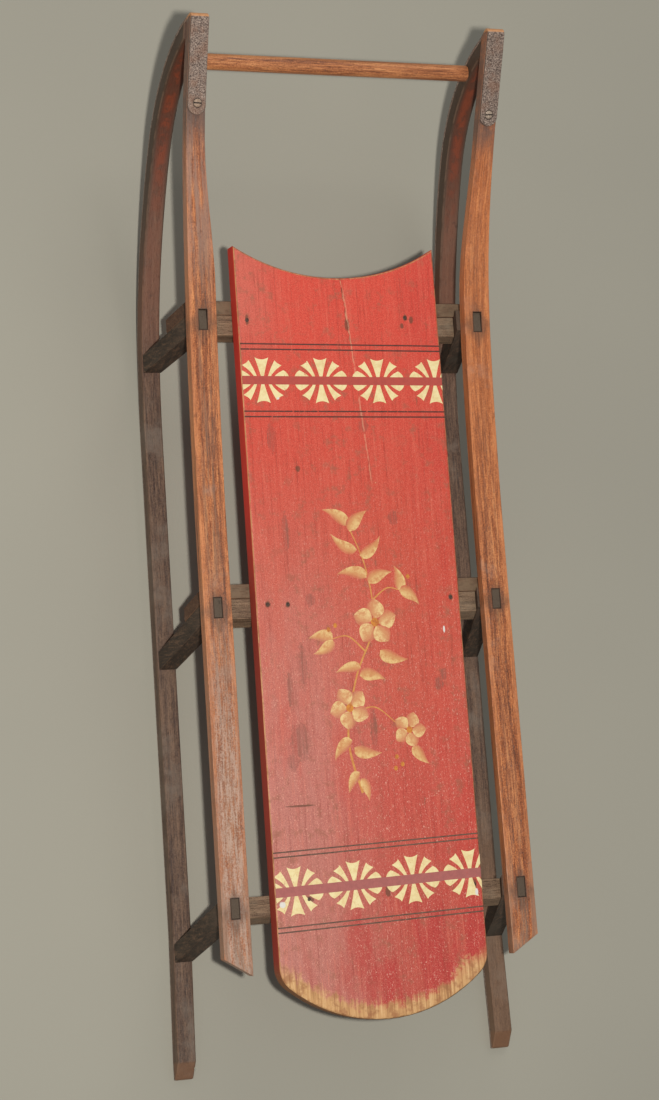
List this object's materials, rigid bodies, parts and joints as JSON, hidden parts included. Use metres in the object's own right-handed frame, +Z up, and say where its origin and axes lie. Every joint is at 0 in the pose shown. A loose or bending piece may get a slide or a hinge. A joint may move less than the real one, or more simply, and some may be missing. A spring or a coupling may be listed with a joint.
{
  "type": "child's wooden sled",
  "caption": "Antique child's sled: a painted deck board on cross benches with splayed legs, side rails and bent wooden runners shod with iron straps",
  "frame": {"origin": "middle of the floor area that the sled covers, at floor level under the runners' iron shoes", "axes": "+Z up, +Y along the sled towards the upturned tips, +X to the sled's own right"},
  "size_m": [0.3932, 1.1, 0.2243],
  "materials": {
    "deck_paint": "old red oil paint on a softwood board, worn to bare wood along the tail, with stencilled cream bands",
    "rail_wood": "reddish-brown varnished hardwood, weathered grey in places",
    "runner_wood": "dull grey-brown weathered hardwood",
    "bench_wood": "dull brown weathered hardwood",
    "shoe_iron": "pitted, rusty strap iron"
  },
  "bodies": {
    "root": {"deck_board": "deck_paint", "rail_left": "rail_wood", "rail_right": "rail_wood", "runner_left": "runner_wood", "runner_right": "runner_wood", "shoe_left": "shoe_iron", "shoe_right": "shoe_iron", "front_dowel": "runner_wood", "bench_rear_bar": "bench_wood", "bench_rear_leg_left": "bench_wood", "bench_rear_leg_right": "bench_wood", "bench_middle_bar": "bench_wood", "bench_middle_brace": "bench_wood", "bench_middle_leg_left": "bench_wood", "bench_middle_leg_right": "bench_wood", "bench_front_bar": "bench_wood", "bench_front_brace": "bench_wood", "bench_front_leg_left": "bench_wood", "bench_front_leg_right": "bench_wood"}
  },
  "joints": []
}
